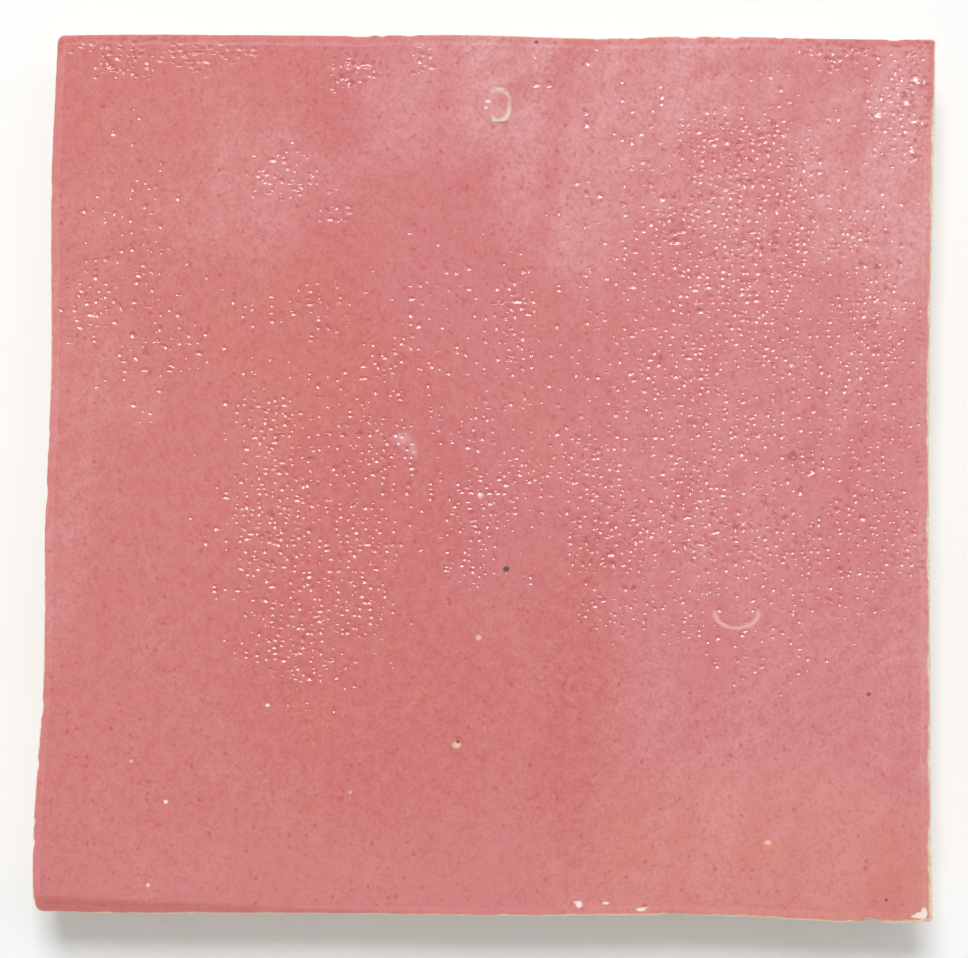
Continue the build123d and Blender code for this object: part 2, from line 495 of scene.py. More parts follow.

# %% [markdown]
# ## Masks that the material reads
#
# A few numbers go with each point. Depth below the glaze and the depth where the glaze ends tell glass
# from clay. The others are soft maps of the face, such as a maker could paint by hand: where the glaze
# boiled, where it is milky, partly with a painted sheen, where it is warm, paler or pooled deep, and where
# its far rim is painted a shade deeper as painted shade. Each map is a list of ovals with noise to break
# up their borders.

# %% Where the glaze boiled
boiled_places = [
    # x, y, reach along x, reach along y, strength
    (30.0, 10.0, 24.0, 34.0, 0.42),
    (-19.0, -5.0, 13.0, 21.0, 0.42),
    (-2.0, 6.0, 16.0, 22.0, 0.22),
    (-38.0, 22.0, 10.0, 20.0, 0.14),
    (-37.0, 48.6, 10.5, 2.8, 1.0),
    (-30.0, 48.6, 4.0, 2.0, 1.0),
    (-14.4, 46.5, 2.6, 1.7, 1.0),
    (-6.4, 47.4, 2.0, 2.6, 0.9),
    (-22.5, 34.6, 3.8, 3.6, 0.7),
    (-17.1, 29.6, 2.4, 2.6, 0.6),
    (-38.0, 32.0, 3.5, 2.0, 0.45),
    (-39.0, 24.2, 2.8, 4.5, 0.6),
    (-44.0, 19.4, 3.4, 3.4, 0.7),
    (-36.0, 14.0, 4.5, 4.5, 0.4),
    (-20.0, 18.6, 8.0, 2.8, 0.4),
    (-24.5, 6.0, 4.5, 4.5, 0.65),
    (-12.5, 4.9, 5.0, 4.6, 0.75),
    (-24.0, -5.0, 5.5, 8.0, 0.95),
    (-13.4, -6.0, 3.6, 5.0, 0.85),
    (-15.5, -13.8, 6.5, 4.4, 1.0),
    (-21.5, -19.0, 5.5, 4.5, 0.9),
    (-0.5, -4.0, 4.0, 5.5, 0.95),
    (4.3, 0.2, 3.0, 3.0, 0.8),
    (-2.6, -10.1, 2.4, 2.6, 0.8),
    (-2.6, 6.5, 4.2, 3.2, 0.5),
    (-10.7, 13.6, 3.0, 4.0, 0.5),
    (-3.7, 22.8, 3.6, 2.0, 0.45),
    (3.0, 17.0, 3.2, 6.0, 0.6),
    (23.6, 38.7, 3.6, 2.6, 0.9),
    (30.1, 34.4, 7.5, 7.0, 1.0),
    (22.6, 28.0, 5.0, 4.4, 1.0),
    (34.4, 26.9, 4.0, 4.0, 1.0),
    (28.5, 22.6, 9.0, 7.0, 0.9),
    (31.0, 15.0, 8.0, 5.0, 0.75),
    (21.5, 12.5, 6.0, 4.5, 0.95),
    (12.4, 1.5, 5.0, 5.0, 0.85),
    (14.5, -6.3, 5.5, 5.0, 1.0),
    (14.0, -14.6, 4.2, 2.0, 0.9),
    (24.2, -3.1, 5.5, 7.0, 0.9),
    (28.5, 5.5, 7.5, 5.0, 0.7),
    (31.0, -7.4, 10.0, 3.2, 0.7),
    (22.0, -15.5, 6.0, 4.0, 0.6),
    (40.8, 27.5, 2.6, 2.6, 0.85),
    (43.5, 16.2, 4.8, 7.0, 0.8),
    (41.4, 3.3, 4.6, 5.0, 0.65),
    (46.5, -6.0, 4.5, 6.0, 0.8),
    (42.0, -11.5, 4.6, 6.0, 0.5),
    (40.6, 48.6, 4.6, 2.4, 1.0),
    (49.0, 48.6, 2.6, 2.4, 1.0),
    (47.5, 42.0, 4.6, 7.0, 1.0),
]
deep_hole_places = [
    (27.0, 30.0, 9.0, 11.0, 0.85),
    (43.0, 24.0, 4.0, 9.0, 0.9),
    (48.3, 41.0, 3.6, 6.0, 1.1),
    (40.4, 48.8, 3.6, 2.0, 1.2),
    (49.0, 48.8, 2.2, 2.0, 1.0),
    (11.0, 33.0, 5.0, 7.0, 0.55),
    (12.0, 44.0, 8.0, 6.0, 0.25),
    (31.0, -2.0, 12.0, 8.0, 0.45),
    (15.0, -7.0, 4.0, 6.0, 0.5),
    (-22.0, -1.0, 5.0, 6.0, 0.35),
    (-13.0, 2.0, 5.0, 6.0, 0.35),
    (-36.5, 48.6, 9.0, 2.2, 0.35),
    (-13.5, 46.8, 3.0, 2.5, 1.2),
    (-6.4, 47.4, 2.0, 2.6, 1.0),
    (-20.0, 32.0, 5.0, 4.0, 0.35),
    (-40.0, 19.0, 6.0, 8.0, 0.25),
]
print("places where the glaze boiled:", len(boiled_places), "and with deep holes:", len(deep_hole_places))

# %% Where its colour changes
# Milky patches: partly milky glaze, partly a painted sheen where the glaze would reflect the wide lamp
milky_and_sheen_places = [
    (38.0, 0.0, 26.0, 60.0, 0.25),
    (17.0, 27.0, 6.0, 7.0, 0.20),
    (22.0, 34.0, 9.0, 8.0, 0.42),
    (16.0, 46.0, 34.0, 12.0, 0.55),
    (46.0, 34.0, 12.0, 17.0, 0.80),
    (13.0, 33.0, 9.0, 13.0, 0.55),
    (-8.0, 42.0, 12.0, 10.0, 0.40),
    (-28.0, 34.0, 11.0, 11.0, 0.28),
    (-45.0, 14.0, 7.0, 22.0, 0.25),
    (-47.0, -8.0, 5.0, 12.0, 0.25),
    (38.0, -46.0, 28.0, 10.0, 0.14),
]
warm_places = [
    (-38.0, 20.0, 18.0, 52.0, 0.6),
    (-20.0, 14.0, 12.0, 14.0, 0.9),
    (-17.0, -8.0, 12.0, 16.0, 0.6),
    (-12.0, -32.0, 28.0, 20.0, 0.55),
    (36.0, -44.0, 28.0, 14.0, 1.0),
    (-44.0, -34.0, 12.0, 20.0, 0.45),
]
# Places where the glaze is made paler; the long one makes the whole near edge lighter
paler_places = [
    (38.0, -43.0, 26.0, 14.0, 0.45),
    (0.0, -50.0, 75.0, 10.0, 0.45),
]
pooled_places = [
    (-17.0, 16.0, 9.0, 10.0, 0.55),
    (-11.0, -2.0, 12.0, 20.0, 0.5),
    (-14.0, -22.0, 20.0, 18.0, 0.6),
    (11.0, -24.0, 6.0, 18.0, 0.7),
    (-20.0, 43.0, 7.0, 5.0, 0.4),
    (7.6, 47.0, 4.0, 1.4, 0.7),
]


def patches(x, y, places):
    """How strongly a point lies in the soft oval patches: full in the middle of one, 0 outside them all."""
    strength = np.zeros(x.shape)
    for centre_x, centre_y, reach_x, reach_y, most in places:
        apart = oval(x, y, (centre_x, centre_y), (reach_x, reach_y))
        strength = np.maximum(strength, most * (1 - rising(apart, 0.5, 1.25)))
    return strength


print("places where it is milky:", len(milky_and_sheen_places), "and pooled deep:", len(pooled_places))

# %% Clouds and streaks
slow_reach = 3.5 * mm
quick_reach = 1.3 * mm
plan = points[:, :2]
slow = slow_reach * np.stack([smooth_noise(plan, 9 * mm, shift, 0.7) for shift in (2.5, 6.5)], 1)
quick = quick_reach * np.stack([smooth_noise(plan, 3 * mm, shift, 1.1) for shift in (4.5, 8.5)], 1)
slow_x, slow_y = (plan + slow).T
quick_x, quick_y = (plan + quick).T
streaks = smooth_noise(plan, (2.6 * mm, 17 * mm), 9.2, -0.15)
streaks += 0.6 * smooth_noise(plan, (6 * mm, 1.8 * mm), 3.6, 0.3)
clouds = smooth_noise(plan, (6 * mm, 10 * mm), 0.7, 0.4)
clouds += 0.6 * smooth_noise(plan, 3 * mm, 5.1, 0.9)
clouds += 0.5 * smooth_noise(plan, 1.5 * mm, 7.9, 1.3)
print("clouds from", clouds.min().round(2), "to", clouds.max().round(2))

# %% Where the glaze ends
# The clay shows as a pale line along the right and near rims, while the glaze runs over the far one
to_x, to_y = np.clip(plan / (50.5 * mm), -1, 1).T ** 15
glaze_reach = 0.135 - 0.055 * to_x - 0.05 * np.abs(to_x) + 0.085 * to_y
ragged = smooth_noise(points, 2.4 * mm, 3.9) + 0.6 * smooth_noise(points, 0.9 * mm, 1.3)
glaze_end = np.maximum(glaze_reach + 0.04 * ragged, 0.02)
runs = smooth_noise(points, (7 * mm, 7 * mm, 40 * mm), 6.9)
glaze_end += 0.5 * rising(runs, 0.35, 0.9) * (glaze_reach > 0.1)
row = np.minimum(np.arange(side_steps + 1), side_steps - np.arange(side_steps + 1))
off_face = np.zeros(len(points) - face_count)
rows_from_rim = np.concatenate([np.minimum.outer(row, row).ravel(), off_face])
print("glaze ends at most", glaze_end.max().round(2), "mm down")


# %% Attributes
def on_sides(values):
    """Values of the rings, given to their points, with 0 for the points of the face and the back."""
    return np.concatenate([np.zeros(face_count), values[1:].ravel(), np.zeros(len(back_points))])


point_depth = np.concatenate([face_depth, ring_depth, np.full(len(back_points), thickness)])
past_lip = lip_roll(plan[:, 0], plan[:, 1], 0.12 * mm) / lip_drop
milky_and_sheen = patches(slow_x, slow_y, milky_and_sheen_places) * (1 + 0.5 * streaks)
pooled_and_rim_shade = patches(slow_x, slow_y, pooled_places) - patches(slow_x, slow_y, paler_places)
# The far rim is painted a shade deeper, as painted shade against the pale veil that the lamp leaves on its
# matt glaze
far_rim_shade = np.exp(-(((rows_from_rim - 0.7) / 0.9) ** 2)) * rising(to_y, 0.35, 0.65)
pooled_and_rim_shade += 1.1 * far_rim_shade
# The last three rows of the grid, about a millimetre, are worn matt
worn_rim = 1 - rising(rows_from_rim, 1.4, 3.4)
masks = {
    "depth_mm": point_depth / mm,
    "glaze_end_mm": glaze_end,
    "worn_rim": worn_rim,
    "boiled": patches(quick_x, quick_y, boiled_places),
    "deep_holes": patches(quick_x, quick_y, deep_hole_places),
    "milky_and_sheen": milky_and_sheen + 0.11 * clouds + 0.05 * streaks,
    "warm": patches(slow_x, slow_y, warm_places) + 0.25 * clouds,
    "pooled_and_rim_shade": pooled_and_rim_shade + 0.16 * clouds + 0.12 * streaks,
    "lip": rising(past_lip, 0.02, 0.24),
    "scar_tone": on_sides(scar_tone),
    "proud_mm": on_sides(proud / mm),
}
for name, values in masks.items():
    attribute = tile_mesh.attributes.new(name, "FLOAT", "POINT")
    attribute.data.foreach_set("value", values.astype(np.float32))
wobble_reach = 0.30 * mm
wobble = wobble_reach * np.stack([smooth_noise(plan, 1.3 * mm, shift) for shift in (7.7, 9.4)], 1)
bent_place = np.column_stack([plan + wobble, np.zeros(len(points))]) / mm
attribute = tile_mesh.attributes.new("bent_place_mm", "FLOAT_VECTOR", "POINT")
attribute.data.foreach_set("vector", bent_place.ravel().astype(np.float32))
tile = bpy.data.objects.new("zellige_tile", tile_mesh)
bpy.context.scene.collection.objects.link(tile)
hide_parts("tile_body")
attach(tile, "root")
print("masks on average:", {name: round(float(values.mean()), 3) for name, values in masks.items()})

# %% [markdown]
# ## Short ways to write shader nodes
#
# A material is a net of nodes. Written out in full, each node takes five lines, so these helpers make
# one and plug its inputs in, and return the output. A group is made once and can be placed many times.

# %% Node helpers
def add(tree, kind, output=0, inputs=None, **settings):
    """Makes a node, sets it, fills its inputs with values or links, and returns one of its outputs."""
    made = tree.nodes.new(kind)
    for name, value in settings.items():
        setattr(made, name, value)
    for name, value in (inputs or {}).items():
        if isinstance(value, bpy.types.NodeSocket):
            tree.links.new(value, made.inputs[name])
        else:
            made.inputs[name].default_value = value
    return made.outputs[output] if output is not None else made


def calc(tree, operation, *values):
    """One sum or function of one, two or three numbers."""
    return add(tree, "ShaderNodeMath", operation=operation, inputs=dict(enumerate(values)))


def step_up(tree, value, start, end, most=1.0):
    """0 below start, most above end, smooth between."""
    return add(
        tree,
        "ShaderNodeMapRange",
        interpolation_type="SMOOTHSTEP",
        inputs={"Value": value, "From Min": start, "From Max": end, "To Max": most},
    )


def vector_calc(tree, operation, *values, output=0):
    """One sum or function of vectors; its output is "Value" where the result is a number."""
    inputs = dict(enumerate(values))
    return add(tree, "ShaderNodeVectorMath", output=output, operation=operation, inputs=inputs)


def blend_colour(tree, factor, first, second):
    """Two colours mixed by a factor."""
    return add(
        tree,
        "ShaderNodeMix",
        output=2,
        data_type="RGBA",
        inputs={0: factor, 6: first, 7: second},
    )


def shader_group(name, inputs, outputs):
    """An empty node group with named inputs and outputs, and its two end nodes."""
    group = bpy.data.node_groups.new(name, "ShaderNodeTree")
    for label, (kind, value) in inputs.items():
        socket = group.interface.new_socket(label, in_out="INPUT", socket_type="NodeSocket" + kind)
        socket.default_value = value
    for label, kind in outputs.items():
        group.interface.new_socket(label, in_out="OUTPUT", socket_type="NodeSocket" + kind)
    start = group.nodes.new("NodeGroupInput")
    end = group.nodes.new("NodeGroupOutput")
    return group, start.outputs, end.inputs


def colour(red, green, blue):
    """A colour from its 0 to 255 screen values, as the linear values that a shader takes."""
    screen = np.array([red, green, blue]) / 255
    linear = np.where(screen <= 0.04045, screen / 12.92, ((screen + 0.055) / 1.055) ** 2.4)
    return (*linear.tolist(), 1.0)


# %% [markdown]
# ## Group: one spot on the face
#
# Pinholes, specks and flecks are all an oval at a known place, with a sharp or a soft border. One
# group makes any of them from its place and its two radii, in millimetres, and puts out its strength
# inside the oval and 0 outside. It measures in radii, because that takes the fewest nodes, and every
# node here is paid for once for each spot, at each point that the renderer looks at.

# %% Spot group
spot_group, given, result = shader_group(
    "Spot",
    {
        "Place": ("Vector", (0, 0, 0)),
        "Centre": ("Vector", (0, 0, 0)),
        "Radii": ("Vector", (1, 1, 1)),
        "Softness": ("Float", 0.3),
        "Strength": ("Float", 1.0),
    },
    {"Inside": "Float"},
)
tree = spot_group
place_in_radii = vector_calc(tree, "DIVIDE", given["Place"], given["Radii"])
centre_in_radii = vector_calc(tree, "DIVIDE", given["Centre"], given["Radii"])
apart = vector_calc(tree, "DISTANCE", place_in_radii, centre_in_radii, output="Value")
outer = calc(tree, "ADD", 1.0, given["Softness"])
inner = calc(tree, "SUBTRACT", 1.0, given["Softness"])
tree.links.new(step_up(tree, apart, outer, inner, given["Strength"]), result["Inside"])
print("nodes in the spot group:", len(tree.nodes))

# %% [markdown]
# ## Group: pinholes where the glaze boiled
#
# Gas leaves the clay through the melting glaze, and each bubble that bursts late leaves a small round
# hollow. A Voronoi texture scatters one centre per cell. Only a share of the cells keeps its hollow, so
# that the same group gives crowded and sparse fields.

# %% Pinhole group
pinhole_group, given, result = shader_group(
    "Pinholes",
    {
        "Place": ("Vector", (0, 0, 0)),
        "Spacing": ("Float", 1.0),
        "Stretch": ("Float", 1.2),
        "Radius": ("Float", 0.3),
        "Share": ("Float", 0.5),
    },
    {"Hollow": "Float"},
)
tree = pinhole_group
wide = calc(tree, "MULTIPLY", given["Spacing"], given["Stretch"])
cell = add(tree, "ShaderNodeCombineXYZ", inputs={0: wide, 1: given["Spacing"], 2: given["Spacing"]})
place = vector_calc(tree, "DIVIDE", given["Place"], cell)
voronoi = tree.nodes.new("ShaderNodeTexVoronoi")
voronoi.voronoi_dimensions = "2D"
voronoi.inputs["Scale"].default_value = 1.0
voronoi.inputs["Randomness"].default_value = 1.0
tree.links.new(place, voronoi.inputs["Vector"])
chance = tree.nodes.new("ShaderNodeSeparateColor")
tree.links.new(voronoi.outputs["Color"], chance.inputs[0])
kept = step_up(tree, calc(tree, "SUBTRACT", given["Share"], chance.outputs[0]), 0.0, 0.12)
size = calc(tree, "MULTIPLY_ADD", chance.outputs[1], 0.7, 0.55)
radius = calc(tree, "MULTIPLY", given["Radius"], size)
hollow = step_up(tree, voronoi.outputs["Distance"], radius, 0.0)
depth = calc(tree, "MULTIPLY", calc(tree, "MULTIPLY", hollow, kept), size)
tree.links.new(depth, result["Hollow"])
print("nodes in the pinhole group:", len(tree.nodes))

# %% [markdown]
# ## Group: a ring in the glaze
#
# A bubble that bursts late leaves a ring of glaze, and where the ring has sunk back in part, only an arc.
# The group draws an oval line. It fades out on the side that Gap points to, from Fade onwards.

# %% Ring group
ring_group, given, result = shader_group(
    "Ring",
    {
        "Place": ("Vector", (0, 0, 0)),
        "Centre": ("Vector", (0, 0, 0)),
        "Radii": ("Vector", (1, 1, 1)),
        "Line": ("Float", 0.15),
        "Gap": ("Vector", (0, 0, 0)),
        "Fade": ("Float", 0.5),
    },
    {"Line": "Float"},
)
tree = ring_group
offset = vector_calc(tree, "SUBTRACT", given["Place"], given["Centre"])
offset = vector_calc(tree, "DIVIDE", offset, given["Radii"])
length = vector_calc(tree, "LENGTH", offset, output="Value")
off_line = calc(tree, "ABSOLUTE", calc(tree, "SUBTRACT", length, 1.0))
line = step_up(tree, off_line, given["Line"], 0.0)
towards_gap = vector_calc(tree, "DOT_PRODUCT", offset, given["Gap"], output="Value")
faded = calc(tree, "ADD", given["Fade"], 0.45)
kept = step_up(tree, towards_gap, faded, given["Fade"])
tree.links.new(calc(tree, "MULTIPLY", line, kept), result["Line"])
print("nodes in the ring group:", len(tree.nodes))

# %% [markdown]
# ## Group: bare clay
#
# The body is a cream clay with sand in it. Its colour drifts a little, and proud places are painted pale,
# partly as wear and partly as a painted highlight. The low ones and the pores are painted darker, partly as
# dust and partly as painted shade. It breaks in grains, and it is open with pores. Soft light shows little
# depth in hollows this small, so the group paints that shade by the same patterns that make the height. A
# noise bends the place first, because nothing in a break is round. Close under the glaze the knife's cut is
# clean and golden, and it is painted lighter there, as a painted highlight where the rounded rim turns from
# the lamps. Below that a band is painted darker and warmer, as painted shade. The group gives a colour and
# a height in millimetres.

# %% Clay group
clay_group, given, result = shader_group(
    "Bare clay",
    {
        "Place": ("Vector", (0, 0, 0)),
        "Drift": ("Float", 0.0),
        "Proud": ("Float", 0.0),
        "Depth": ("Float", 5.0),
        "Cream": ("Color", colour(249, 233, 209)),
        "Ochre": ("Color", colour(236, 206, 172)),
        "Pale": ("Color", colour(254, 246, 228)),
        "Dust and shade": ("Color", colour(150, 112, 86)),
        "Shade band": ("Color", colour(206, 152, 102)),
        "Clean lit rim": ("Color", colour(254, 234, 198)),
    },
    {"Color": "Color", "Height": "Float"},
)
tree = clay_group
bend_inputs = {"Vector": given["Place"], "Scale": 0.9, "Detail": 2.0}
bend = add(tree, "ShaderNodeTexNoise", output="Color", inputs=bend_inputs)
place = vector_calc(tree, "MULTIPLY_ADD", bend, (1.6, 1.6, 1.6), given["Place"])


def scattered(scale):
    """Distance to the nearest scattered centre and a random number for it, both as shares."""
    cells = tree.nodes.new("ShaderNodeTexVoronoi")
    cells.inputs["Scale"].default_value = scale
    tree.links.new(place, cells.inputs["Vector"])
    number = add(tree, "ShaderNodeSeparateColor", inputs={0: cells.outputs["Color"]})
    return cells.outputs["Distance"], number


chip, chip_tone = scattered(0.55)
pore, pore_chance = scattered(0.95)
grit_inputs = {"Vector": given["Place"], "Scale": 1.7, "Detail": 4.0, "Roughness": 0.72}
grit = add(tree, "ShaderNodeTexNoise", inputs=grit_inputs)
drift = add(tree, "ShaderNodeTexNoise", inputs={"Vector": given["Place"], "Scale": 0.13, "Detail": 3.0})
drift = calc(tree, "MULTIPLY_ADD", chip_tone, 0.12, drift)
drift = calc(tree, "MULTIPLY_ADD", given["Drift"], 0.20, drift)
clay = blend_colour(tree, step_up(tree, drift, 0.36, 0.98), given["Cream"], given["Ochre"])
# Proud places are painted pale: partly wear, partly a painted highlight on the crests
rubbed_and_lit = calc(tree, "MULTIPLY", step_up(tree, given["Proud"], 0.03, 0.28), 0.6)
clay = blend_colour(tree, rubbed_and_lit, clay, given["Pale"])
# Bowls, low places and low grit are painted darker: partly dust, partly painted shade in the hollows
low = calc(tree, "MULTIPLY", step_up(tree, chip, 0.35, 0.0), 0.22)
low = calc(tree, "MULTIPLY_ADD", step_up(tree, given["Proud"], 0.0, -0.45), 0.36, low)
low = calc(tree, "MULTIPLY_ADD", step_up(tree, grit, 0.52, 0.30), 0.32, low)
clear_of_glaze = step_up(tree, given["Depth"], 0.2, 0.9)
clay = blend_colour(tree, calc(tree, "MULTIPLY", low, clear_of_glaze), clay, given["Dust and shade"])
# Pores are painted darker: painted shade in them, with dust
pore_reach = calc(tree, "MULTIPLY_ADD", pore_chance, 0.50, -0.22)
pore = step_up(tree, calc(tree, "SUBTRACT", pore, pore_reach), 0.02, -0.10)
pore = calc(tree, "MULTIPLY", pore, clear_of_glaze)
clay = blend_colour(tree, calc(tree, "MULTIPLY", pore, 0.60), clay, given["Dust and shade"])
# A band below the rim is painted darker and warmer: painted shade
below_rim, above_land = step_up(tree, given["Depth"], 0.8, 1.3), step_up(tree, given["Depth"], 2.2, 1.3)
shade_band = calc(tree, "MULTIPLY", calc(tree, "MULTIPLY", below_rim, above_land), 0.30)
clay = blend_colour(tree, shade_band, clay, given["Shade band"])
# The clay just under the glaze is painted light: its own clean colour and a painted highlight
frayed = calc(tree, "MULTIPLY_ADD", grit, 0.9, calc(tree, "SUBTRACT", given["Depth"], 0.45))
lit_rim_share = calc(tree, "MULTIPLY", step_up(tree, frayed, 0.62, 0.32), 0.85)
clay = blend_colour(tree, lit_rim_share, clay, given["Clean lit rim"])
height = calc(tree, "MULTIPLY_ADD", chip, 0.35, calc(tree, "MULTIPLY_ADD", grit, 0.55, -0.5))
height = calc(tree, "MULTIPLY_ADD", pore, -0.25, height)
tree.links.new(clay, result["Color"])
tree.links.new(height, result["Height"])
print("nodes in the clay group:", len(tree.nodes))

# %% [markdown]
# ## The material: rose glaze over cream clay
#
# Glaze and clay are one fired piece, so they share one material. It holds a shader for each, and the
# depth below the face says which of them shows. One shader with mixed inputs would look the same, but
# then every point would pay for both. The border is ragged, because the glaze chips where the clay does.

# %% Glaze colour
def empty_material(name):
    """A material with no nodes in it yet, and its node tree."""
    made = bpy.data.materials.new(name)
    made.use_nodes = True
    made.node_tree.nodes.clear()
    return made, made.node_tree


material, tree = empty_material("rose_glaze_over_clay")
place_m = add(tree, "ShaderNodeTexCoord", output="Object")
place = add(tree, "ShaderNodeVectorMath", operation="SCALE", inputs={0: place_m, "Scale": 1 / mm})
mask = {name: add(tree, "ShaderNodeAttribute", output="Fac", attribute_name=name) for name in masks}


def noise(vector, scale, detail=2.0, roughness=0.5):
    """Blender's flat noise, from 0 to 1 with its middle at one half."""
    return add(
        tree,
        "ShaderNodeTexNoise",
        noise_dimensions="2D",
        inputs={"Vector": vector, "Scale": scale, "Detail": detail, "Roughness": roughness},
    )


def turned(vector, angle):
    """The place turned about the upright axis, so that a pattern's grid doesn't follow the edges."""
    return add(
        tree, "ShaderNodeVectorRotate", rotation_type="Z_AXIS", inputs={"Vector": vector, "Angle": angle}
    )


glaze = blend_colour(tree, mask["warm"], colour(212, 131, 132), colour(214, 133, 124))
# Milky glaze and a painted sheen
glaze = blend_colour(tree, mask["milky_and_sheen"], glaze, colour(226, 166, 167))
blotches = noise(turned(place, 0.6), 0.75, 3.0, 0.6)
grain = noise(turned(place, 1.1), 2.3, 2.0, 0.6)
unevenness = calc(tree, "ADD", calc(tree, "MULTIPLY", blotches, 0.85), calc(tree, "MULTIPLY", grain, 0.95))
unevenness = calc(tree, "SUBTRACT", unevenness, 0.72)
# Pooled glaze, random unevenness and the far rim's painted shade deepen the colour
depth_of_tone = calc(tree, "MULTIPLY_ADD", mask["pooled_and_rim_shade"], 0.26, unevenness)
glaze = blend_colour(tree, depth_of_tone, glaze, colour(196, 97, 94))
# The lip is painted deeper and warmer: partly glaze pooled at the lower edge, partly painted shade where
# the lip turns from the lamps
glaze = blend_colour(tree, calc(tree, "MULTIPLY", mask["lip"], 0.42), glaze, colour(178, 88, 72))
print("nodes for the glaze's colour:", len(tree.nodes))

# %% [markdown]
# ## Pinholes and the marks that can be pointed at
#
# Small hollows give the glaze its sparkle: each catches the lamp on the wall that faces it. Where a
# hollow is deep the glaze has drawn back round it and looks darker, and that darker colour is partly
# painted shade in the hollow. Then come the single marks, each at its own place on the tile.

# %% Pinholes
def placed(group, **inputs):
    """A group placed in the material, with its inputs by name. Returns all of its outputs."""
    node = tree.nodes.new("ShaderNodeGroup")
    node.node_tree = group
    for name, value in inputs.items():
        if isinstance(value, bpy.types.NodeSocket):
            tree.links.new(value, node.inputs[name])
        else:
            node.inputs[name].default_value = value
    return node.outputs


small_hole_depth = 0.075
big_hole_depth = 0.110
bent = add(tree, "ShaderNodeAttribute", output="Vector", attribute_name="bent_place_mm")
small_share = calc(tree, "MULTIPLY_ADD", mask["boiled"], 1.3, 0.02)
small_holes = placed(
    pinhole_group, Place=bent, Spacing=0.72, Stretch=1.45, Radius=0.45, Share=small_share
)["Hollow"]
big_share = calc(tree, "MULTIPLY_ADD", mask["boiled"], 0.10, 0.035)
big_share = calc(tree, "MULTIPLY_ADD", mask["deep_holes"], 0.52, big_share)
big_holes = placed(
    pinhole_group, Place=bent, Spacing=1.35, Stretch=1.05, Radius=0.36, Share=big_share
)["Hollow"]
height = calc(tree, "MULTIPLY", small_holes, -small_hole_depth)
height = calc(tree, "MULTIPLY_ADD", big_holes, -big_hole_depth, height)
speck_share = calc(tree, "MULTIPLY_ADD", mask["deep_holes"], 0.6, 0.24)
speck_holes = placed(
    pinhole_group, Place=bent, Spacing=1.0, Stretch=1.0, Radius=0.30, Share=speck_share
)["Hollow"]
# Hollows and specks are painted darker: deeper glaze, and painted shade in the hollows
deep_glaze_and_shade = calc(tree, "MULTIPLY", small_holes, 0.38)
deep_glaze_and_shade = calc(tree, "MAXIMUM", calc(tree, "MULTIPLY", big_holes, 0.55), deep_glaze_and_shade)
deep_glaze_and_shade = calc(tree, "MAXIMUM", deep_glaze_and_shade, calc(tree, "MULTIPLY", speck_holes, 0.50))
glaze = blend_colour(tree, deep_glaze_and_shade, glaze, colour(192, 74, 80))
print("pinholes are at most", small_hole_depth, "and", big_hole_depth, "mm deep")

# %% Rings
rings_drawn = [
    # place, centre x, y, radius x, y, line as a share of them, gap's side, its start, colour, how much
    (bent, 1.64, 42.25, 1.30, 1.76, 0.30, (-1.0, -0.05, 0.0), 0.45, colour(226, 192, 180), 0.68),
    (bent, 1.70, 42.24, 1.32, 1.76, 0.25, (-0.35, 0.95, 0.0), -0.75, colour(232, 212, 194), 0.85),
    (place, 28.5, -15.1, 2.45, 1.72, 0.19, (0.0, 1.0, 0.0), -0.12, colour(234, 188, 182), 0.75),
]
for where, x, y, radius_x, radius_y, line, gap, fade, tint, strength in rings_drawn:
    drawn = placed(
        ring_group,
        Place=where,
        Centre=(x, y, 0.0),
        Radii=(radius_x, radius_y, 1000.0),
        Line=line,
        Gap=gap,
        Fade=fade,
    )["Line"]
    glaze = blend_colour(tree, calc(tree, "MULTIPLY", drawn, strength), glaze, tint)
print("rings drawn:", len(rings_drawn))

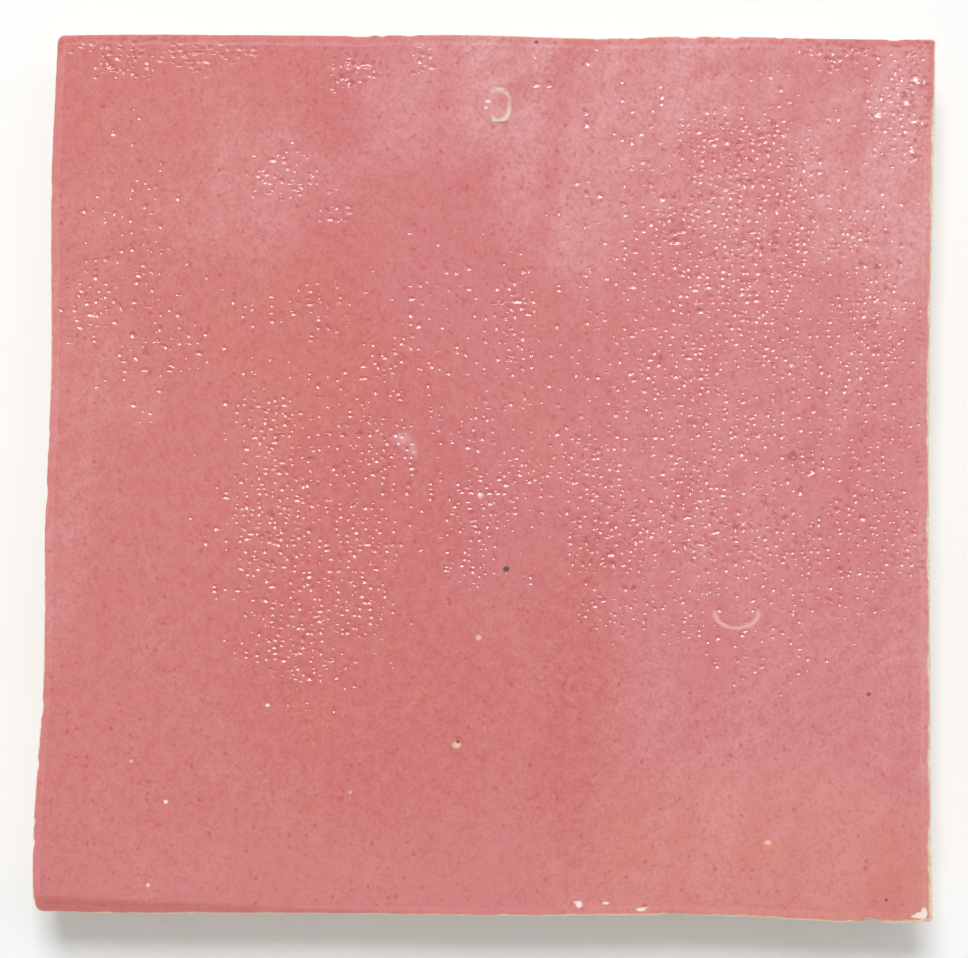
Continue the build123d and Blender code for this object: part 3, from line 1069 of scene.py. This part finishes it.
# %% Single marks
cream = colour(234, 206, 180)
white = colour(248, 234, 226)
milk = colour(232, 180, 182)
marks = [
    # what it is: x, y, radius x, radius y, softness, colour, how much of it, height in mm
    ("pinhole to the clay", -0.4, -1.8, 0.36, 0.30, 0.4, cream, 0.85, -0.10),
    ("pinhole to the clay", -0.6, -17.9, 0.30, 0.30, 0.4, cream, 0.75, 0.0),
    ("pinhole to the clay", -3.1, -30.0, 0.46, 0.34, 0.4, cream, 0.85, 0.0),
    # Painted shade inside the pinhole above
    ("painted shade in the pinhole", -2.95, -29.65, 0.20, 0.18, 0.5, colour(112, 64, 58), 0.8, 0.0),
    ("pinhole with a grey floor", 2.5, -10.2, 0.34, 0.34, 0.4, colour(92, 82, 92), 0.95, -0.14),
    ("ochre blister", 32.05, -41.55, 0.48, 0.52, 0.5, colour(226, 152, 104), 0.75, 0.08),
    # A painted highlight on the blister's lit side
    ("painted highlight on the blister", 32.0, -41.0, 0.36, 0.22, 0.5, colour(244, 200, 176), 0.8, 0.0),
    ("dark speck", 45.4, -47.5, 0.20, 0.18, 0.6, colour(120, 66, 70), 0.8, 0.0),
    ("red speck", 43.4, -24.3, 0.22, 0.22, 0.6, colour(176, 44, 54), 0.9, 0.0),
    ("grey smudge", 34.8, 2.5, 0.62, 0.42, 0.8, colour(158, 92, 98), 0.75, 0.0),
    ("dark speck", 5.9, 49.3, 0.20, 0.16, 0.5, colour(90, 56, 50), 0.9, 0.0),
    ("milky smear", -9.2, 4.5, 0.85, 0.60, 0.9, milk, 0.6, 0.0),
    ("milky smear", -8.0, 3.4, 0.40, 0.85, 0.9, milk, 0.45, 0.0),
    # White patches painted along the near edge and in its right corner
    ("white patch by the near edge", 10.72, -48.00, 0.36, 0.38, 0.3, white, 0.98, 0.0),
    ("its tail", 10.42, -47.78, 0.30, 0.14, 0.5, white, 0.8, 0.0),
    ("white patch by the near edge", 13.75, -47.86, 0.36, 0.15, 0.4, white, 0.85, 0.0),
    ("white patch by the near edge", 17.70, -48.60, 0.50, 0.18, 0.4, white, 0.95, 0.0),
    ("its tail", 18.10, -48.42, 0.36, 0.09, 0.5, white, 0.6, 0.0),
    ("white patch in the corner", 49.66, -49.02, 0.36, 0.64, 0.25, white, 0.98, 0.0),
    ("white patch in the corner", 49.22, -49.24, 0.54, 0.36, 0.3, white, 0.95, 0.0),
    ("white patch in the corner", 48.72, -49.36, 0.50, 0.17, 0.4, white, 0.9, 0.0),
    ("white patch in the corner", 49.56, -49.62, 0.26, 0.28, 0.4, white, 0.9, 0.0),
    # Painted glints: white spots where the ring would catch the lamp
    ("painted glint by the ring", 0.46, 42.60, 0.30, 0.18, 0.5, white, 0.85, 0.0),
    ("painted glint by the ring", 0.22, 41.90, 0.20, 0.16, 0.5, white, 0.7, 0.0),
    ("painted glint by the ring", 1.75, 44.00, 0.42, 0.14, 0.7, white, 0.45, 0.0),
    ("painted glint by the ring", 2.55, 43.50, 0.24, 0.13, 0.7, white, 0.40, 0.0),
    # A painted shadow under the ring's lower edge
    ("painted shadow under the ring", 1.80, 40.22, 0.75, 0.13, 0.8, colour(150, 70, 62), 0.65, 0.0),
    # Pale dots painted on the glaze
    ("pale dot", -35.9, -36.4, 0.22, 0.22, 0.5, white, 0.95, 0.0),
    ("pale dot", -37.9, -45.8, 0.20, 0.20, 0.6, white, 0.75, 0.0),
    ("pale dot", -39.8, -31.8, 0.18, 0.18, 0.6, white, 0.55, 0.0),
    ("pale dot", -24.4, -25.5, 0.24, 0.18, 0.5, white, 0.95, 0.0),
    ("pale dot", -15.1, -35.3, 0.18, 0.18, 0.6, cream, 0.6, 0.0),
    ("scratch", -24.7, -34.0, 0.50, 0.10, 0.6, colour(228, 160, 144), 0.55, 0.0),
]
for label, x, y, radius_x, radius_y, softness, tint, strength, rise in marks:
    inside = placed(
        spot_group,
        Place=place,
        Centre=(x, y, 0.0),
        Radii=(radius_x, radius_y, 1000.0),
        Softness=softness,
        Strength=strength,
    )["Inside"]
    inside.node.label = label
    glaze = blend_colour(tree, inside, glaze, tint)
    if rise:
        # The strength is in the spot already, so the height is divided by it
        height = calc(tree, "MULTIPLY_ADD", inside, rise / strength, height)
print("single marks:", len(marks))

# %% Beads of glaze that catch the lamp
beads = [
    # x, y, radius x, radius y, height in mm
    (-15.20, 46.18, 0.72, 0.34, 0.155),
    (-13.30, 46.20, 0.56, 0.32, 0.150),
    (-7.30, 48.62, 0.46, 0.34, 0.155),
    (44.80, 40.65, 0.60, 0.34, 0.155),
    (48.20, 42.10, 0.62, 0.32, 0.145),
    (49.20, 39.95, 0.80, 0.30, 0.140),
    (49.35, 44.55, 0.72, 0.36, 0.165),
    (48.60, 36.70, 0.50, 0.30, 0.140),
]
for x, y, radius_x, radius_y, rise in beads:
    bead = placed(
        spot_group,
        Place=place,
        Centre=(x, y, 0.0),
        Radii=(radius_x, radius_y, 1000.0),
        Softness=0.9,
    )["Inside"]
    height = calc(tree, "MULTIPLY_ADD", bead, rise, height)
print("beads:", len(beads))

# %% Clay, rim and the finished material
depth, glaze_end = mask["depth_mm"], mask["glaze_end_mm"]
clay = placed(clay_group, Place=place, Drift=mask["scar_tone"], Proud=mask["proud_mm"], Depth=depth)
bare = step_up(tree, calc(tree, "SUBTRACT", depth, glaze_end), -0.025, 0.025)
# Where the glaze ends early it is thin before it ends, and the clay shines through it
thin_start = calc(tree, "MULTIPLY", glaze_end, 0.4)
thin = step_up(tree, calc(tree, "SUBTRACT", depth, thin_start), -0.04, 0.06)
thin = calc(tree, "MULTIPLY", thin, step_up(tree, glaze_end, 0.17, 0.07))
glaze = blend_colour(tree, calc(tree, "MULTIPLY", thin, 0.6), glaze, colour(228, 176, 162))
gloss = calc(tree, "MULTIPLY_ADD", blotches, 0.09, 0.045)
rim_wear = step_up(tree, mask["worn_rim"], 0.0, 0.9)
rubbed_roughness = 0.72
rim_gloss = add(tree, "ShaderNodeMix", inputs={0: rim_wear, 2: gloss, 3: rubbed_roughness})
glaze_bump = add(tree, "ShaderNodeBump", inputs={"Strength": 1.0, "Distance": mm, "Height": height})
clay_bump = add(tree, "ShaderNodeBump", inputs={"Strength": 1.0, "Distance": mm, "Height": clay["Height"]})
glass = add(
    tree,
    "ShaderNodeBsdfPrincipled",
    inputs={"Base Color": glaze, "Roughness": rim_gloss, "IOR": 1.5, "Normal": glaze_bump},
)
biscuit = add(
    tree,
    "ShaderNodeBsdfPrincipled",
    inputs={"Base Color": clay["Color"], "Roughness": 0.88, "IOR": 1.5, "Normal": clay_bump},
)
surface = add(tree, "ShaderNodeMixShader", inputs={0: bare, 1: glass, 2: biscuit})
add(tree, "ShaderNodeOutputMaterial", output=None, inputs={"Surface": surface})
tile_mesh.materials.append(material)
print("nodes in the material:", len(tree.nodes))

# %% [markdown]
# ## Floor, light and camera
#
# The tile lies face up on a pale floor, and the camera looks straight down on it, as in the picture it
# is made from. A small soft lamp beyond the far edge gives the sparkle, a wider one to the right gives
# the milky sheen, and a pale world fills the rest. Together they light a level surface at about 1, so
# that a colour renders about as it is written. Away from the tile the floor shows the camera plain
# white, which adds no light to the tile. The world is white low down, where a side view sees it, and
# dimmer overhead, where it would veil the glaze. The light that it sheds leans to the near left, so
# that the relief of the sides shows.

# %% Floor
def seen_directly(tree):
    """1 for what the camera sees, plainly or in a reflection, and 0 for light on its way to a surface."""
    rays = add(tree, "ShaderNodeLightPath", output=None).outputs
    seen = calc(tree, "MAXIMUM", rays["Is Camera Ray"], rays["Is Glossy Ray"])
    return calc(tree, "MAXIMUM", seen, rays["Is Transmission Ray"])


floor_mesh = bpy.data.meshes.new("floor")
floor_reach = 3.0
floor_corners = [(x * floor_reach, y * floor_reach, 0.0) for x, y in ((-1, -1), (1, -1), (1, 1), (-1, 1))]
floor_mesh.from_pydata(floor_corners, [], [(0, 1, 2, 3)])
floor = bpy.data.objects.new("floor", floor_mesh)
bpy.context.scene.collection.objects.link(floor)
floor_material, tree = empty_material("pale_floor")
floor_paint = {"Base Color": (0.94, 0.94, 0.94, 1.0), "Roughness": 0.9}
floor_surface = add(tree, "ShaderNodeBsdfPrincipled", inputs=floor_paint)
plain_white = (1.0, 1.0, 1.0, 1.0)
backdrop = add(tree, "ShaderNodeEmission", inputs={"Color": plain_white, "Strength": 1.0})
from_middle = vector_calc(tree, "LENGTH", add(tree, "ShaderNodeTexCoord", output="Object"), output="Value")
far_off = step_up(tree, from_middle, 0.10, 0.40)
plain = calc(tree, "MULTIPLY", far_off, seen_directly(tree))
mixed = add(tree, "ShaderNodeMixShader", inputs={0: plain, 1: floor_surface, 2: backdrop})
add(tree, "ShaderNodeOutputMaterial", output=None, inputs={"Surface": mixed})
floor_mesh.materials.append(floor_material)
print("the floor reaches", floor_reach, "m from the tile each way")

# %% Light
def lamp(name, place, width, depth, power):
    """A soft rectangular lamp that shines at the tile."""
    data = bpy.data.lights.new(name, "AREA")
    data.shape = "RECTANGLE"
    data.size, data.size_y, data.energy = width, depth, power
    made = bpy.data.objects.new(name, data)
    made.location = place
    aim = -np.array(place)
    made.rotation_euler = (
        math.atan2(math.hypot(aim[0], aim[1]), -aim[2]),
        0.0,
        math.atan2(aim[1], aim[0]) - math.pi / 2,
    )
    bpy.context.scene.collection.objects.link(made)
    return made


lamps = [
    lamp("sparkle_lamp", place=(-0.12, 1.06, 1.72), width=0.70, depth=0.70, power=24.8),
    lamp("sheen_lamp", place=(0.625, 0.56, 1.40), width=1.3, depth=1.0, power=5.1),
]
print("lamps in watts:", {made.name: round(made.data.energy, 1) for made in lamps})

# %% World
world = bpy.data.worlds.new("pale_studio")
world.use_nodes = True
tree = world.node_tree
way = add(tree, "ShaderNodeTexCoord", output="Generated")
upwards = add(tree, "ShaderNodeSeparateXYZ", output="Z", inputs={0: way})
dimming = add(
    tree,
    "ShaderNodeMapRange",
    interpolation_type="SMOOTHSTEP",
    inputs={"Value": upwards, "From Min": 0.34, "From Max": 0.50, "To Min": 1.0, "To Max": 0.25},
)
near_left = (-0.6, -0.8, 0.0)
leaning = vector_calc(tree, "DOT_PRODUCT", way, near_left, output="Value")
leaning = calc(tree, "MULTIPLY_ADD", leaning, 0.5, 1.0)
evenly = add(tree, "ShaderNodeMix", inputs={0: seen_directly(tree), 2: leaning, 3: 1.0})
sky = tree.nodes["Background"]
sky.inputs["Color"].default_value = plain_white
tree.links.new(calc(tree, "MULTIPLY", dimming, evenly), sky.inputs["Strength"])
bpy.context.scene.world = world
print("nodes in the world:", len(tree.nodes))

# %% Camera
scene = bpy.context.scene
frame_size = (968, 958)
tile_share = 0.93
camera_data = bpy.data.cameras.new("straight_down")
camera_data.lens = 120.0
camera_data.sensor_width = 36.0
view_width = (cad_box[1][1] - cad_box[0][1]) / tile_share * frame_size[0] / frame_size[1]
camera = bpy.data.objects.new("straight_down", camera_data)
camera.location = (0.0, 0.0, thickness + view_width * camera_data.lens / camera_data.sensor_width)
scene.collection.objects.link(camera)
scene.camera = camera
scene.view_settings.view_transform = "Standard"
print("camera height in mm:", round(camera.location.z / mm, 1))
